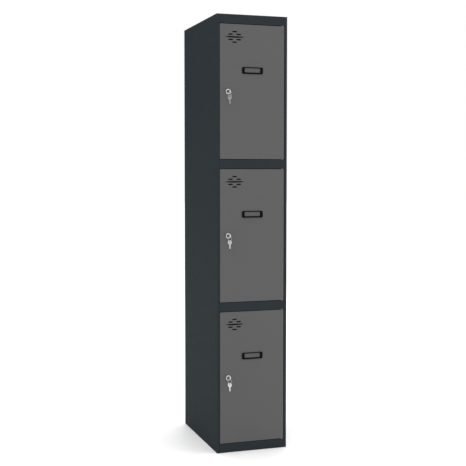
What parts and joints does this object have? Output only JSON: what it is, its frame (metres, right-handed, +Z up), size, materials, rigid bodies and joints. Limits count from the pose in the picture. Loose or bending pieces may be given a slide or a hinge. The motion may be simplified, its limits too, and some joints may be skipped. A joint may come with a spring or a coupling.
{
  "type": "locker cabinet",
  "caption": "Tall narrow steel locker with stacked hinged doors, each with vent slits, a card holder and a cam lock with keys.",
  "frame": {"origin": "bottom centre of the whole object's box, keys included, on the floor", "axes": "+Z up, doors face -Y, +X to the right seen from the front (the hinge side)"},
  "size_m": [0.305, 0.5276, 1.8],
  "materials": {
    "body_paint": "anthracite powder coat, fine texture",
    "door_paint": "mid grey powder coat, fine texture",
    "black_plastic": "moulded black plastic",
    "chrome": "bright nickel or chrome plate",
    "zinc_steel": "zinc plated steel",
    "black_zinc": "black zinc plated steel",
    "rubber": "black rubber"
  },
  "bodies": {
    "carcass": {"left_side_panel": "body_paint", "right_side_panel": "body_paint", "back_panel": "body_paint", "top_panel": "body_paint", "base_panel": "body_paint", "lower_shelf": "body_paint", "upper_shelf": "body_paint", "bottom_rail": "body_paint", "lower_mid_rail": "body_paint", "upper_mid_rail": "body_paint", "top_rail": "body_paint", "bottom_lower_hinge_pin": "zinc_steel", "bottom_upper_hinge_pin": "zinc_steel", "bottom_lower_bumper": "rubber", "bottom_upper_bumper": "rubber", "middle_lower_hinge_pin": "zinc_steel", "middle_upper_hinge_pin": "zinc_steel", "middle_lower_bumper": "rubber", "middle_upper_bumper": "rubber", "top_lower_hinge_pin": "zinc_steel", "top_upper_hinge_pin": "zinc_steel", "top_lower_bumper": "rubber", "top_upper_bumper": "rubber"},
    "bottom_door": {"bottom_door_panel": "door_paint", "bottom_door_stiffener": "door_paint", "bottom_card_holder": "black_plastic", "bottom_lock_housing": "chrome", "bottom_lock_nut": "zinc_steel"},
    "bottom_lock": {"bottom_lock_plug": "black_zinc", "bottom_lock_cam": "zinc_steel", "bottom_cam_screw": "zinc_steel"},
    "bottom_inserted_key": {"bottom_key": "chrome"},
    "bottom_ring": {"bottom_key_ring": "chrome"},
    "bottom_hanging_key": {"bottom_spare_key": "chrome"},
    "middle_door": {"middle_door_panel": "door_paint", "middle_door_stiffener": "door_paint", "middle_card_holder": "black_plastic", "middle_lock_housing": "chrome", "middle_lock_nut": "zinc_steel"},
    "middle_lock": {"middle_lock_plug": "black_zinc", "middle_lock_cam": "zinc_steel", "middle_cam_screw": "zinc_steel"},
    "middle_inserted_key": {"middle_key": "chrome"},
    "middle_ring": {"middle_key_ring": "chrome"},
    "middle_hanging_key": {"middle_spare_key": "chrome"},
    "top_door": {"top_door_panel": "door_paint", "top_door_stiffener": "door_paint", "top_card_holder": "black_plastic", "top_lock_housing": "chrome", "top_lock_nut": "zinc_steel"},
    "top_lock": {"top_lock_plug": "black_zinc", "top_lock_cam": "zinc_steel", "top_cam_screw": "zinc_steel"},
    "top_inserted_key": {"top_key": "chrome"},
    "top_ring": {"top_key_ring": "chrome"},
    "top_hanging_key": {"top_spare_key": "chrome"}
  },
  "joints": [
    {"name": "bottom_door_swing", "type": "hinge", "parent": "carcass", "child": "bottom_door", "pos_m": [0.1335, -0.23122, 0.039], "axis": [0, 0, 1], "range_deg": [0, 110]},
    {"name": "bottom_lock_turn", "type": "hinge", "parent": "bottom_door", "child": "bottom_lock", "pos_m": [-0.1035, -0.23622, 0.31233], "axis": [0, -1, 0], "range_deg": [0, 90]},
    {"name": "bottom_key_slide", "type": "slide", "parent": "bottom_lock", "child": "bottom_inserted_key", "axis": [0, -1, 0], "range_m": [0, 0.016]},
    {"name": "bottom_ring_swing", "type": "hinge", "parent": "bottom_inserted_key", "child": "bottom_ring", "pos_m": [-0.1035, -0.25592, 0.31083], "axis": [1, 0, 0], "range_deg": [-70, 15]},
    {"name": "bottom_spare_key_slip", "type": "hinge", "parent": "bottom_ring", "child": "bottom_hanging_key", "pos_m": [-0.1035, -0.25592, 0.30233], "axis": [0, -1, 0], "range_deg": [-90, 0]},
    {"name": "middle_door_swing", "type": "hinge", "parent": "carcass", "child": "middle_door", "pos_m": [0.1335, -0.23122, 0.62667], "axis": [0, 0, 1], "range_deg": [0, 110]},
    {"name": "middle_lock_turn", "type": "hinge", "parent": "middle_door", "child": "middle_lock", "pos_m": [-0.1035, -0.23622, 0.9], "axis": [0, -1, 0], "range_deg": [0, 90]},
    {"name": "middle_key_slide", "type": "slide", "parent": "middle_lock", "child": "middle_inserted_key", "axis": [0, -1, 0], "range_m": [0, 0.016]},
    {"name": "middle_ring_swing", "type": "hinge", "parent": "middle_inserted_key", "child": "middle_ring", "pos_m": [-0.1035, -0.25592, 0.8985], "axis": [1, 0, 0], "range_deg": [-70, 15]},
    {"name": "middle_spare_key_slip", "type": "hinge", "parent": "middle_ring", "child": "middle_hanging_key", "pos_m": [-0.1035, -0.25592, 0.89], "axis": [0, -1, 0], "range_deg": [-90, 0]},
    {"name": "top_door_swing", "type": "hinge", "parent": "carcass", "child": "top_door", "pos_m": [0.1335, -0.23122, 1.21433], "axis": [0, 0, 1], "range_deg": [0, 110]},
    {"name": "top_lock_turn", "type": "hinge", "parent": "top_door", "child": "top_lock", "pos_m": [-0.1035, -0.23622, 1.48767], "axis": [0, -1, 0], "range_deg": [0, 90]},
    {"name": "top_key_slide", "type": "slide", "parent": "top_lock", "child": "top_inserted_key", "axis": [0, -1, 0], "range_m": [0, 0.016]},
    {"name": "top_ring_swing", "type": "hinge", "parent": "top_inserted_key", "child": "top_ring", "pos_m": [-0.1035, -0.25592, 1.48617], "axis": [1, 0, 0], "range_deg": [-70, 15]},
    {"name": "top_spare_key_slip", "type": "hinge", "parent": "top_ring", "child": "top_hanging_key", "pos_m": [-0.1035, -0.25592, 1.47767], "axis": [0, -1, 0], "range_deg": [-90, 0]}
  ],
  "couplings": [
    {"joint": "bottom_spare_key_slip", "follows": "bottom_lock_turn", "ratio": -1},
    {"joint": "middle_spare_key_slip", "follows": "middle_lock_turn", "ratio": -1},
    {"joint": "top_spare_key_slip", "follows": "top_lock_turn", "ratio": -1}
  ]
}
